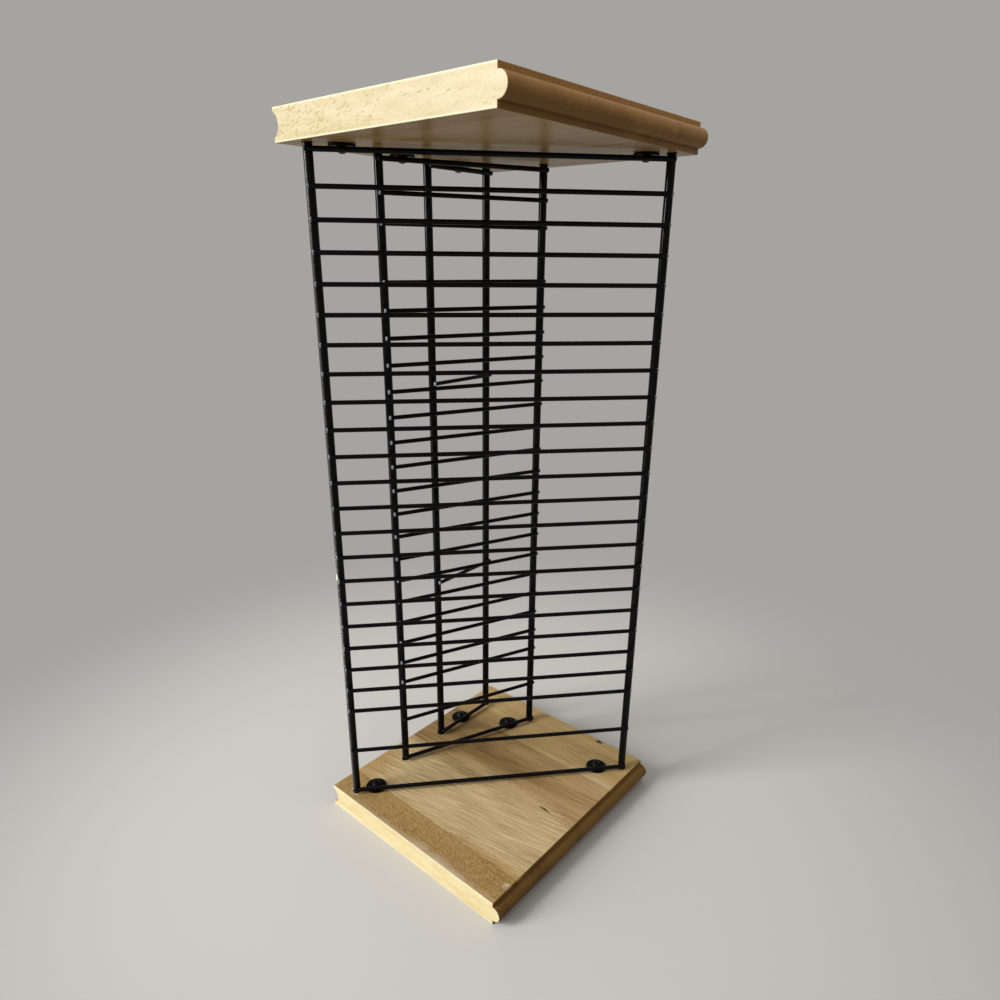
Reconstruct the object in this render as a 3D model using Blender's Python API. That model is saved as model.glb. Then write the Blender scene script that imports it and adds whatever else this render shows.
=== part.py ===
"""A CD stand: three welded wire ladders, fanned in plan, held between two edge-glued wooden boards.

Metres, +Z up, origin at the centre of the footprint, on the floor. +X is the boards' beaded edge and
-X the coved edge, so that stands placed side by side interlock. Cases slide in from the open -Y and +X
sides, lie on the rungs of the ladders, and stop against the uprights on the -X and +Y sides.
"""
import math

import bmesh
import bpy
from mathutils import Matrix

MM = 0.001

# Both boards, which share one outline: the flat size, the half-round bead and the hollow cove
BOARD_LENGTH = 165.0 * MM
BOARD_WIDTH = 148.25 * MM
BOARD_THICKNESS = 15.9 * MM
BEAD_RADIUS = 5.1 * MM
COVE_HEIGHT = 11.5 * MM
COVE_DEPTH = 4.0 * MM
ARRIS = 0.4 * MM

# Glued seams between a board's staves, measured from its front edge
BASE_SEAMS = (21.7 * MM, 75.0 * MM, 123.0 * MM)
TOP_SEAMS = (38.0 * MM, 84.0 * MM, 131.0 * MM)
GLUE_LINE = 0.2 * MM

# Wires of the ladders. A bar crosses the front of each upright, sinks a little into it at the weld, and
# ends a short way past its axis
UPRIGHT_DIAMETER = 5.0 * MM
RAIL_DIAMETER = 2.8 * MM
RUNG_DIAMETER = 2.6 * MM
WELD_SINK = 0.6 * MM
BAR_END = 1.5 * MM

# Levels of the bars: from rail to rail, from the bottom rail up to the first rung, and from the last rung
# up to the top rail. The steps between those two rungs are even. A ladder that carries cases has no rung
# at step 1, which leaves two tall gaps near the base, for thick cases. The back ladder only has two
# rungs, as braces
RAIL_SPACING = 392.5 * MM
FIRST_RUNG = 32.5 * MM
LAST_GAP = 16.8 * MM
LAST_STEP = 22
CASE_RUNGS = (0, *range(2, LAST_STEP + 1))
BRACE_RUNGS = (6, 15)

# Sockets drilled in the boards for the ends of the uprights
SOCKET_DIAMETER = 6.2 * MM
SOCKET_DEPTH = 7.0 * MM

# Screws and the washers that the rails are fixed through
WASHER_DIAMETER = 14.0 * MM
WASHER_THICKNESS = 1.2 * MM
SCREW_HEAD_DIAMETER = 6.2 * MM
SCREW_HEAD_HEIGHT = 2.9 * MM
SCREW_HEAD_RIM = 0.5 * MM
SCREW_SHANK_DIAMETER = 3.5 * MM
SCREW_LENGTH = 12.0 * MM
SCREW_TIP = 3.0 * MM

# Clearances: between pieces that rest on each other, and round a screw in its hole
SEAT_GAP = 0.3 * MM
SCREW_CLEARANCE = 0.35 * MM

# Lines that the uprights stand on, so that a case pushed in stops square against them. The front and
# middle ladders run from the side line, measured from the coved edge, to the back line, measured from
# the front edge. Both uprights of the back ladder stand close to the side line
SIDE_STOP_LINE = 15.6 * MM
BACK_STOP_LINE = 149.1 * MM
BACK_LADDER_LINE = 14.3 * MM

# Axes of each ladder's two uprights, measured from the coved edge and from the front edge of the
# boards, the steps of its rungs, and how far each screw is in from the upright that it is named for, or
# past the middle of the ladder
LADDERS = {
    "front": {
        "left": (SIDE_STOP_LINE, 7.3 * MM),
        "right": (140.0 * MM, BACK_STOP_LINE),
        "rungs": CASE_RUNGS,
        "base_screws": {"left": 14.0 * MM, "right": 17.5 * MM},
        "top_screws": {"left": 17.5 * MM, "right": 12.5 * MM},
    },
    "middle": {
        "left": (SIDE_STOP_LINE, 52.2 * MM),
        "right": (54.1 * MM, BACK_STOP_LINE),
        "rungs": CASE_RUNGS,
        "base_screws": {"right": 17.0 * MM},
        "top_screws": {"left": 15.5 * MM},
    },
    "back": {
        "left": (BACK_LADDER_LINE, 91.1 * MM),
        "right": (BACK_LADDER_LINE, 142.5 * MM),
        "rungs": BRACE_RUNGS,
        "base_screws": {"middle": -2.0 * MM},
        "top_screws": {"middle": 2.5 * MM},
    },
}

# Facets
ARC_STEPS = 12
UPRIGHT_SIDES = 12
BAR_SIDES = 8
HOLE_SIDES = 16
TURNED_SIDES = 20
DOME_STEPS = 4
SMOOTH_ANGLE = math.radians(40.0)
MERGE_DISTANCE = 0.001 * MM

# Finishes: linear colour, roughness and metallic value
WOOD_COLOURS = ((0.27, 0.15, 0.06), (0.45, 0.30, 0.14), (0.38, 0.23, 0.10), (0.50, 0.34, 0.17))
WOOD_ROUGHNESS = 0.45
BLACK_PAINT = (0.012, 0.012, 0.013)
PAINT_ROUGHNESS = 0.35
BLACK_STEEL = (0.02, 0.02, 0.022)
STEEL_ROUGHNESS = 0.4

# Sizes that follow from those above
UPRIGHT_RADIUS = UPRIGHT_DIAMETER / 2
RAIL_RADIUS = RAIL_DIAMETER / 2
RUNG_RADIUS = RUNG_DIAMETER / 2
RAIL_FORWARD = UPRIGHT_RADIUS + RAIL_RADIUS - WELD_SINK
RUNG_FORWARD = UPRIGHT_RADIUS + RUNG_RADIUS - WELD_SINK
RUNG_PITCH = (RAIL_SPACING - FIRST_RUNG - LAST_GAP) / LAST_STEP
WASHER_TOP = SEAT_GAP + WASHER_THICKNESS
RAIL_LEVEL = WASHER_TOP + SEAT_GAP + RAIL_RADIUS
CLEAR_HEIGHT = RAIL_SPACING + 2 * RAIL_LEVEL
TOP_BOARD_LEVEL = BOARD_THICKNESS + CLEAR_HEIGHT
SCREW_BEHIND = RAIL_RADIUS + SCREW_HEAD_DIAMETER / 2 + SEAT_GAP - RAIL_FORWARD
SCREW_HOLE_DIAMETER = SCREW_SHANK_DIAMETER + 2 * SCREW_CLEARANCE
CORNER_X = -(BOARD_WIDTH + BEAD_RADIUS) / 2
CORNER_Y = -BOARD_LENGTH / 2


def clear_scene():
    for leftover in list(bpy.data.objects):
        bpy.data.objects.remove(leftover, do_unlink=True)


def make_material(name, colour, roughness, metallic):
    material = bpy.data.materials.new(name)
    material.use_nodes = True
    shader = material.node_tree.nodes["Principled BSDF"]
    shader.inputs["Base Color"].default_value = (*colour, 1.0)
    shader.inputs["Roughness"].default_value = roughness
    shader.inputs["Metallic"].default_value = metallic
    return material


def make_object(name, shape, parent):
    """Turn a bmesh into an object with its faces outward, shaded smooth between its sharp edges."""
    bmesh.ops.recalc_face_normals(shape, faces=shape.faces)
    mesh = bpy.data.meshes.new(name)
    shape.to_mesh(mesh)
    shape.free()
    mesh.shade_smooth()
    mesh.set_sharp_from_angle(angle=SMOOTH_ANGLE)
    made = bpy.data.objects.new(name, mesh)
    bpy.context.collection.objects.link(made)
    made.parent = parent
    return made


def make_helper(name, shape, parent):
    """An object that only shapes another one, by a Boolean."""
    helper = make_object(name, shape, parent)
    helper.hide_render = True
    helper.display_type = "WIRE"
    return helper


def add_boolean(target, helper, operation):
    modifier = target.modifiers.new(helper.name, "BOOLEAN")
    modifier.operation = operation
    modifier.solver = "EXACT"
    modifier.object = helper


def add_rod(shape, x, y, low, high, diameter, sides):
    """A closed upright cylinder from height low to height high."""
    centre = Matrix.Translation((x, y, (low + high) / 2))
    bmesh.ops.create_cone(
        shape, cap_ends=True, segments=sides, radius1=diameter / 2, radius2=diameter / 2,
        depth=high - low, matrix=centre)


def add_bar(shape, start, end, y, level, diameter):
    """A closed cylinder along X from start to end, with a flat side turned up."""
    centre = Matrix.Translation(((start + end) / 2, y, level))
    along_x = Matrix.Rotation(math.radians(90.0), 4, "Y")
    half_side = Matrix.Rotation(math.pi / BAR_SIDES, 4, "Z")
    bmesh.ops.create_cone(
        shape, cap_ends=True, segments=BAR_SIDES, radius1=diameter / 2, radius2=diameter / 2,
        depth=end - start, matrix=centre @ along_x @ half_side)


def turned(outline, closed):
    """Turn an outline of (radius, height) points about Z. A closed outline makes a ring."""
    shape = bmesh.new()
    points = [shape.verts.new((radius, 0.0, height)) for radius, height in outline]
    edges = [shape.edges.new(pair) for pair in zip(points, points[1:])]
    if closed:
        edges.append(shape.edges.new((points[-1], points[0])))
    bmesh.ops.spin(
        shape, geom=points + edges, axis=(0, 0, 1), cent=(0, 0, 0), steps=TURNED_SIDES,
        angle=math.tau, use_merge=True)
    bmesh.ops.remove_doubles(shape, verts=shape.verts, dist=MERGE_DISTANCE)
    return shape


def arc(centre_x, centre_z, radius, start, end):
    """Points of an arc, both ends included."""
    angles = [start + (end - start) * step / ARC_STEPS for step in range(ARC_STEPS + 1)]
    return [(centre_x + radius * math.cos(angle), centre_z + radius * math.sin(angle)) for angle in angles]


def board_outline():
    """Cross-section of a board: eased lips round a hollow cove, and a half-round bead between two flats."""
    middle = BOARD_THICKNESS / 2
    cove_radius = (COVE_HEIGHT ** 2 / 4 + COVE_DEPTH ** 2) / (2 * COVE_DEPTH)
    cove_angle = math.asin(COVE_HEIGHT / 2 / cove_radius)
    underside = [(ARRIS, 0.0), (BOARD_WIDTH - ARRIS, 0.0), (BOARD_WIDTH, ARRIS)]
    bead = arc(BOARD_WIDTH, middle, BEAD_RADIUS, -math.pi / 2, math.pi / 2)
    upper_side = [
        (BOARD_WIDTH, BOARD_THICKNESS - ARRIS), (BOARD_WIDTH - ARRIS, BOARD_THICKNESS),
        (ARRIS, BOARD_THICKNESS), (0.0, BOARD_THICKNESS - ARRIS)]
    cove = arc(COVE_DEPTH - cove_radius, middle, cove_radius, cove_angle, -cove_angle)
    return underside + bead + upper_side + cove + [(0.0, ARRIS)]


def make_stave(name, front, back, level, colour, holes, parent):
    """One stave of a board, from front to back along Y, drilled where the board's holes cross it."""
    shape = bmesh.new()
    end_grain = shape.faces.new([shape.verts.new((x, 0.0, z)) for x, z in board_outline()])
    swept = bmesh.ops.extrude_face_region(shape, geom=[end_grain])
    far_end = [item for item in swept["geom"] if isinstance(item, bmesh.types.BMVert)]
    bmesh.ops.translate(shape, verts=far_end, vec=(0.0, back - front, 0.0))
    stave = make_object(name, shape, parent)
    stave.location = (CORNER_X, CORNER_Y + front, level)
    stave.data.materials.append(make_material(name, colour, WOOD_ROUGHNESS, 0.0))
    add_boolean(stave, holes, "DIFFERENCE")


def make_board(name, seams, level, holes, parent):
    """Edge-glue a board from staves, with half a glue line taken off each side of a seam."""
    fronts = [0.0] + [seam + GLUE_LINE / 2 for seam in seams]
    backs = [seam - GLUE_LINE / 2 for seam in seams] + [BOARD_LENGTH]
    for number, (front, back, colour) in enumerate(zip(fronts, backs, WOOD_COLOURS), start=1):
        make_stave(f"{name}_stave_{number}", front, back, level, colour, holes, parent)


def ladder_width(ladder):
    return math.dist(ladder["left"], ladder["right"])


def ladder_frame(ladder):
    """Place of a ladder: its left upright's foot on the base board, with X along the ladder."""
    left, right = ladder["left"], ladder["right"]
    heading = math.atan2(right[1] - left[1], right[0] - left[0])
    foot = Matrix.Translation((CORNER_X + left[0], CORNER_Y + left[1], BOARD_THICKNESS))
    return foot @ Matrix.Rotation(heading, 4, "Z")


def screw_station(where, inset, width):
    """Distance of a screw along its ladder, from the left upright."""
    stations = {"left": inset, "middle": width / 2 + inset, "right": width - inset}
    return stations[where]


def drill_board(name, face_level, into, screws, parent):
    """All holes of one board: a blind socket for each upright and a pilot hole for each screw.

    face_level is the height of the face that the ladders meet, and into is 1 or -1, up or down into the wood.
    """
    shape = bmesh.new()
    overrun = SOCKET_DEPTH

    def drill(place, x, y, diameter, depth):
        hole = place @ Matrix.Translation((x, y, 0.0))
        ends = sorted((face_level - into * overrun, face_level + into * depth))
        add_rod(shape, hole.translation.x, hole.translation.y, *ends, diameter, HOLE_SIDES)

    for ladder in LADDERS.values():
        place = ladder_frame(ladder)
        width = ladder_width(ladder)
        drill(place, 0.0, 0.0, SOCKET_DIAMETER, SOCKET_DEPTH)
        drill(place, width, 0.0, SOCKET_DIAMETER, SOCKET_DEPTH)
        for where, inset in ladder[screws].items():
            station = screw_station(where, inset, width)
            drill(place, station, SCREW_BEHIND, SCREW_HOLE_DIAMETER, SCREW_LENGTH)
    return make_helper(name, shape, parent)


def make_ladder(name, ladder, parent):
    """Two uprights with two rails and the ladder's rungs welded across their front."""
    width = ladder_width(ladder)
    foot = SEAT_GAP - SOCKET_DEPTH
    head = CLEAR_HEIGHT - foot
    uprights = bmesh.new()
    for x in (0.0, width):
        add_rod(uprights, x, 0.0, foot, head, UPRIGHT_DIAMETER, UPRIGHT_SIDES)
    frame = make_object(f"{name}_frame", uprights, parent)
    frame.matrix_local = ladder_frame(ladder)

    bars = bmesh.new()
    for level in (RAIL_LEVEL, RAIL_LEVEL + RAIL_SPACING):
        add_bar(bars, -BAR_END, width + BAR_END, -RAIL_FORWARD, level, RAIL_DIAMETER)
    for step in ladder["rungs"]:
        level = RAIL_LEVEL + FIRST_RUNG + step * RUNG_PITCH
        add_bar(bars, -BAR_END, width + BAR_END, -RUNG_FORWARD, level, RUNG_DIAMETER)
    add_boolean(frame, make_helper(f"{name}_bars", bars, frame), "UNION")
    frame.data.materials.append(make_material(frame.name, BLACK_PAINT, PAINT_ROUGHNESS, 0.0))
    return frame


def washer_shape():
    hole = SCREW_HOLE_DIAMETER / 2
    rim = WASHER_DIAMETER / 2
    outline = [(hole, SEAT_GAP), (rim, SEAT_GAP), (rim, WASHER_TOP), (hole, WASHER_TOP)]
    return turned(outline, closed=True)


def screw_shape():
    """A round-head wood screw: an elliptical dome over a short rim, a plain shank and a point."""
    seat = WASHER_TOP + SEAT_GAP
    rim = seat + SCREW_HEAD_RIM
    tip = seat - SCREW_LENGTH
    outline = []
    for step in range(DOME_STEPS + 1):
        angle = math.pi / 2 * (1 - step / DOME_STEPS)
        radius = SCREW_HEAD_DIAMETER / 2 * math.cos(angle)
        outline.append((radius, rim + (SCREW_HEAD_HEIGHT - SCREW_HEAD_RIM) * math.sin(angle)))
    shank = SCREW_SHANK_DIAMETER / 2
    outline += [(SCREW_HEAD_DIAMETER / 2, seat), (shank, seat), (shank, tip + SCREW_TIP), (0.0, tip)]
    return turned(outline, closed=False)


def make_fixing(prefix, where, station, frame, turned_over):
    """A washer and its screw on one board, upside down under the top board."""
    for piece, make_shape in (("washer", washer_shape), ("screw", screw_shape)):
        made = make_object(f"{prefix}_{piece}_{where}", make_shape(), frame)
        made.location = (station, SCREW_BEHIND, 0.0)
        if turned_over:
            made.location.z = CLEAR_HEIGHT
            made.rotation_euler.x = math.pi
        made.data.materials.append(make_material(made.name, BLACK_STEEL, STEEL_ROUGHNESS, 1.0))


def main():
    clear_scene()
    stand = bpy.data.objects.new("cd_stand", None)
    bpy.context.collection.objects.link(stand)

    base_holes = drill_board("base_holes", BOARD_THICKNESS, -1, "base_screws", stand)
    make_board("base", BASE_SEAMS, 0.0, base_holes, stand)
    top_holes = drill_board("top_holes", TOP_BOARD_LEVEL, 1, "top_screws", stand)
    make_board("top", TOP_SEAMS, TOP_BOARD_LEVEL, top_holes, stand)

    for name, ladder in LADDERS.items():
        frame = make_ladder(name, ladder, stand)
        width = ladder_width(ladder)
        for board, turned_over in (("base", False), ("top", True)):
            for where, inset in ladder[f"{board}_screws"].items():
                station = screw_station(where, inset, width)
                make_fixing(f"{name}_{board}", where, station, frame, turned_over)


main()
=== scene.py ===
# %% [markdown]
# # Dressing a CD stand
# The stand is two edge-glued wooden boards with three welded wire ladders between them. Its solids are
# already packed as a fixed frame, so every size and place comes from there. This lesson makes the surface
# that the eye meets: planks with soft edges and grain, wires with weld beads and chipped paint, and turned
# screws.

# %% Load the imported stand
import math

import bmesh
import bpy
from mathutils import Matrix, Vector


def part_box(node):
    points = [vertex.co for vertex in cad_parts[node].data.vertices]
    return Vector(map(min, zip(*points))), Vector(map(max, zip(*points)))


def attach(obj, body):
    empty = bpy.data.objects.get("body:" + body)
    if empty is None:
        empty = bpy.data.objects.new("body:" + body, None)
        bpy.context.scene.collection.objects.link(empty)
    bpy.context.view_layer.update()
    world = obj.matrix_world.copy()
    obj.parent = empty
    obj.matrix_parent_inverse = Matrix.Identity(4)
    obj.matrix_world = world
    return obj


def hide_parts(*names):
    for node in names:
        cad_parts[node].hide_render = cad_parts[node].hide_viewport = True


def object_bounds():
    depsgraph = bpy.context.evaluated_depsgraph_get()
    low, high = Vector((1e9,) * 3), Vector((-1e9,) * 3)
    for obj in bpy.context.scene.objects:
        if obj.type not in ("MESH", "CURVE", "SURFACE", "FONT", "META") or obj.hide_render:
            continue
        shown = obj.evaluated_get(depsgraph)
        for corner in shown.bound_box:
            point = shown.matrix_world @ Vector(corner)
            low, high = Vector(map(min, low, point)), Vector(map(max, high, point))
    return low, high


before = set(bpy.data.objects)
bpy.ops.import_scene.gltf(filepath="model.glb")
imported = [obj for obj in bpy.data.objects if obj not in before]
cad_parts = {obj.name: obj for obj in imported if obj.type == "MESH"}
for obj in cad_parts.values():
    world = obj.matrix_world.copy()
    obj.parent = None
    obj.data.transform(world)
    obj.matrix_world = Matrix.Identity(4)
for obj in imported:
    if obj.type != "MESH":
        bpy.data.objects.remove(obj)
cad_low, cad_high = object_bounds()
MM = 0.001
print("solids:", len(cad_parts), "box in mm:", [round(side / MM, 2) for side in cad_high - cad_low])

# %% [markdown]
# ## The camera
# The photograph was taken from a little above the middle of the stand, close to it, so the verticals lean.
# A camera can be placed by eye, or worked out from known corners of the object. Here the corners of both
# boards and the feet of the uprights gave the place, the three turns and the lens.

# %% Camera
CAMERA_PLACE = (0.2723, -0.3123, 0.3628)
CAMERA_YAW = math.radians(40.497)
CAMERA_PITCH = math.radians(-20.499)
CAMERA_ROLL = math.radians(0.562)
CAMERA_LENS = 25.66
CAMERA_SHIFT = (-0.0024, 0.0225)
CAMERA_NEAR = 0.01

camera = bpy.data.objects.new("camera", bpy.data.cameras.new("camera"))
bpy.context.scene.collection.objects.link(camera)
turn = Matrix.Rotation(CAMERA_YAW, 4, "Z")
tilt = Matrix.Rotation(math.pi / 2 + CAMERA_PITCH, 4, "X")
roll = Matrix.Rotation(CAMERA_ROLL, 4, "Z")
camera.matrix_world = Matrix.Translation(CAMERA_PLACE) @ turn @ tilt @ roll
camera.data.lens = CAMERA_LENS
camera.data.shift_x, camera.data.shift_y = CAMERA_SHIFT
camera.data.clip_start = CAMERA_NEAR
bpy.context.scene.camera = camera
print("camera looks along", [round(part, 3) for part in turn @ tilt @ Vector((0, 0, -1))])

# %% [markdown]
# ## Small helpers
# Every piece starts as a bmesh, becomes an object, and is shaded smooth between its sharp edges. A Boolean
# is settled at once: the piece's mesh is swapped for the result, so that no cutter has to stay in the scene.
# Colours are written as sRGB hex, as a paint chart gives them, and one function turns them to linear light.
# One function adds a shader node, because a material reads best as a list of nodes with their settings.

# %% Helpers for pieces
SMOOTH_ANGLE = math.radians(38.0)


def shade(piece):
    """Shade a piece smooth, apart from the edges that are sharper than SMOOTH_ANGLE."""
    piece.data.shade_smooth()
    piece.data.set_sharp_from_angle(angle=SMOOTH_ANGLE)


def make_object(name, shape):
    """Turn a bmesh into an object with its faces outward, smooth between sharp edges."""
    bmesh.ops.recalc_face_normals(shape, faces=shape.faces)
    mesh = bpy.data.meshes.new(name)
    shape.to_mesh(mesh)
    shape.free()
    made = bpy.data.objects.new(name, mesh)
    bpy.context.scene.collection.objects.link(made)
    shade(made)
    return made


def cut_or_join(piece, other, operation):
    """Boolean a piece with another object, and keep the result as the piece's mesh."""
    modifier = piece.modifiers.new(other.name, "BOOLEAN")
    modifier.operation = operation
    modifier.solver = "EXACT"
    modifier.object = other
    graph = bpy.context.evaluated_depsgraph_get()
    result = bpy.data.meshes.new_from_object(piece.evaluated_get(graph))
    piece.modifiers.clear()
    piece.data = result
    shade(piece)


def stand_for(piece, node, slot, *finishes):
    """Give a piece its finishes, and let it ride and show in place of its solid."""
    for finish in finishes:
        piece.data.materials.append(finish)
    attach(piece, "root")
    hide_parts(node)


print("edges stay sharp above", round(math.degrees(SMOOTH_ANGLE)), "degrees")

# %% Helpers for finishes
# Noise runs from 0 to 1, but most of it lies between these
NOISE_LOW = 0.3
NOISE_HIGH = 0.7


def linear(hex_colour):
    """sRGB hex to the linear RGBA that shader sockets take."""
    channels = [int(hex_colour[place:place + 2], 16) / 255 for place in (1, 3, 5)]
    return tuple(c / 12.92 if c <= 0.04045 else ((c + 0.055) / 1.055) ** 2.4 for c in channels) + (1.0,)


def add_node(tree, kind, settings, inputs):
    """Add one shader node, set its properties, then set or link each of its inputs."""
    made = tree.nodes.new(kind)
    for name, value in settings.items():
        setattr(made, name, value)
    for name, value in inputs.items():
        if isinstance(value, bpy.types.NodeSocket):
            tree.links.new(value, made.inputs[name])
        else:
            made.inputs[name].default_value = value
    return made


def start_finish(name, **sockets):
    """A new material, its node tree and its shader, with the values that are the same all over."""
    finish = bpy.data.materials.new(name)
    finish.use_nodes = True
    shader = finish.node_tree.nodes["Principled BSDF"]
    for socket, value in sockets.items():
        shader.inputs[socket.replace("_", " ")].default_value = value
    return finish, finish.node_tree, shader


def place_in_mm(tree):
    """Where a spot of the surface is in the stand's frame, in mm, so that patterns can have real sizes."""
    place = add_node(tree, "ShaderNodeTexCoord", {}, {}).outputs["Object"]
    return add_node(tree, "ShaderNodeVectorMath", {"operation": "SCALE"}, {
        "Vector": place, "Scale": 1 / MM}).outputs[0]


print("mid grey in linear light:", [round(part, 4) for part in linear("#808080")])

# %% [markdown]
# ## Turned shapes
# Screws, washers and the straight bars of the ladders are all round. A ready-made cylinder could be bevelled
# for each, but one function that turns an outline about an axis, as a lathe does, gives domes, rims and tips
# as well. An outline is a list of (radius, height) points. A row of points on a quarter circle rounds a
# corner.

# %% Lathe
MERGE_DISTANCE = 0.001 * MM
QUARTER = math.pi / 2


def arc(centre_x, centre_z, radius, start, end, steps):
    """Points of an arc, both ends included."""
    angles = [start + (end - start) * step / steps for step in range(steps + 1)]
    return [(centre_x + radius * math.cos(angle), centre_z + radius * math.sin(angle)) for angle in angles]


def turned(outline, sides, closed=False):
    """Turn an outline about Z. A closed outline makes a ring."""
    shape = bmesh.new()
    points = [shape.verts.new((radius, 0.0, height)) for radius, height in outline]
    edges = [shape.edges.new(pair) for pair in zip(points, points[1:])]
    if closed:
        edges.append(shape.edges.new((points[-1], points[0])))
    bmesh.ops.spin(
        shape, geom=points + edges, axis=(0, 0, 1), cent=(0, 0, 0), steps=sides, angle=math.tau,
        use_merge=True)
    bmesh.ops.remove_doubles(shape, verts=shape.verts, dist=MERGE_DISTANCE)
    return shape


def add_shape(target, added, place):
    """Copy one bmesh into another, moved by a matrix, and free the copied one."""
    added.transform(place)
    mesh = bpy.data.meshes.new("added")
    added.to_mesh(mesh)
    added.free()
    target.from_mesh(mesh)
    bpy.data.meshes.remove(mesh)


print("middle of a quarter circle:", [round(part, 3) for part in arc(0.0, 0.0, 1.0, 0.0, QUARTER, 2)[1]])

# %% [markdown]
# ## Where the ladders stand
# The uprights' places could be typed in again, but reading them from the solids keeps the two in step. A
# ladder's two uprights reach deeper than anything else on it, so the lowest points of its solid are the rims
# of their feet. Splitting those points at the middle gives the two axes, and the ladder's own frame: X along
# it, from the left upright to the right, and its bars on the -Y side.

# %% Axes of the uprights
LADDERS = ("front", "middle", "back")
RIM_TOLERANCE = 0.01 * MM


def upright_axes(node):
    """Plan points of a ladder's left and right uprights."""
    points = [vertex.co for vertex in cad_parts[node].data.vertices]
    lowest = min(point.z for point in points)
    rims = sorted((point for point in points if point.z < lowest + RIM_TOLERANCE), key=lambda point: point.y)
    half = len(rims) // 2
    return [sum((point.xy for point in rim), Vector((0.0, 0.0))) / half for rim in (rims[:half], rims[half:])]


axes = {ladder: upright_axes(f"{ladder}_frame") for ladder in LADDERS}
for ladder, (left, right) in axes.items():
    print(ladder, "ladder is", round((right - left).length / MM, 2), "mm wide")

# %% [markdown]
# ## The boards
# Each board is four staves glued edge to edge, planed, and then shaped along two sides with moulding cutters:
# a half-round bead on one, a hollow cove on the other. A board could be one slab with its joints painted on,
# but separate planks can each have their own fibres. The outline is drawn once and swept along each stave.
# The solids leave a thin gap at each glue line; a well-made joint shows none, so here the planks close up to
# a hairline. The sharp corners are broken with sandpaper, which a small rounding on every outer edge gives.

# %% Outline of a board
BOARD_WIDTH = 148.25 * MM
BOARD_THICKNESS = 15.9 * MM
BEAD_RADIUS = 5.1 * MM
COVE_HEIGHT = 11.5 * MM
COVE_DEPTH = 4.0 * MM
SANDED_RADIUS = 0.5 * MM
BEAD_STEPS = 36
COVE_STEPS = 28
SANDED_STEPS = 3


def board_outline():
    """Cross-section of a board, with its sanded corners, bead and cove."""
    middle = BOARD_THICKNESS / 2
    eased = SANDED_RADIUS
    right, top = BOARD_WIDTH - eased, BOARD_THICKNESS - eased
    cove_radius = (COVE_HEIGHT ** 2 / 4 + COVE_DEPTH ** 2) / (2 * COVE_DEPTH)
    cove_angle = math.asin(COVE_HEIGHT / 2 / cove_radius)
    outline = arc(eased, eased, eased, -math.pi, -QUARTER, SANDED_STEPS)
    outline += arc(right, eased, eased, -QUARTER, 0.0, SANDED_STEPS)
    outline += arc(BOARD_WIDTH, middle, BEAD_RADIUS, -QUARTER, QUARTER, BEAD_STEPS)
    outline += arc(right, top, eased, 0.0, QUARTER, SANDED_STEPS)
    outline += arc(eased, top, eased, QUARTER, math.pi, SANDED_STEPS)
    outline += arc(COVE_DEPTH - cove_radius, middle, cove_radius, cove_angle, -cove_angle, COVE_STEPS)
    return outline


print("points round a board:", len(board_outline()))

# %% Holes and dents
SOCKET_DIAMETER = 6.2 * MM
SOCKET_DEPTH = 7.0 * MM
PILOT_DIAMETER = 4.2 * MM
PILOT_DEPTH = 12.0 * MM
HOLE_OVERRUN = 3.0 * MM
HOLE_SIDES = 40
DENT_SUBDIVISIONS = 3
CORNER_X, CORNER_Y = cad_low.x, cad_low.y
# Small knocks in the base board's upper face: plan place from its coved front corner, and half-sizes
BASE_DENTS = (
    {"place": (114.3 * MM, 164.6 * MM), "halves": (1.7 * MM, 1.2 * MM, 0.9 * MM)},
    {"place": (146.1 * MM, 14.2 * MM), "halves": (1.2 * MM, 0.8 * MM, 0.2 * MM)},
)


def screw_places(board):
    """Plan points of a board's screws, from the middles of their solids."""
    nodes = [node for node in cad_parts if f"_{board}_screw_" in node]
    return [(sum(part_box(node), Vector()) / 2).xy for node in nodes]


def board_cutter(board, face_level, into):
    """Everything that is taken out of one board. into is 1 or -1: up or down into the wood."""
    shape = bmesh.new()
    sockets = [(point, SOCKET_DIAMETER, SOCKET_DEPTH) for pair in axes.values() for point in pair]
    pilots = [(point, PILOT_DIAMETER, PILOT_DEPTH) for point in screw_places(board)]
    for point, diameter, depth in sockets + pilots:
        middle = face_level + into * (depth - HOLE_OVERRUN) / 2
        bmesh.ops.create_cone(
            shape, cap_ends=True, segments=HOLE_SIDES, radius1=diameter / 2, radius2=diameter / 2,
            depth=depth + HOLE_OVERRUN, matrix=Matrix.Translation((*point, middle)))
    for dent in BASE_DENTS if board == "base" else ():
        x, y = dent["place"]
        place = Matrix.Translation((CORNER_X + x, CORNER_Y + y, face_level))
        bmesh.ops.create_icosphere(
            shape, subdivisions=DENT_SUBDIVISIONS, radius=1.0,
            matrix=place @ Matrix.Diagonal((*dent["halves"], 1.0)))
    return make_object(f"{board}_cutter", shape)


print("screws in each board:", {board: len(screw_places(board)) for board in ("base", "top")})

# %% Planks
STAVES = 4
GLUE_LINE = 0.2 * MM
HAIRLINE = 0.02 * MM


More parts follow.
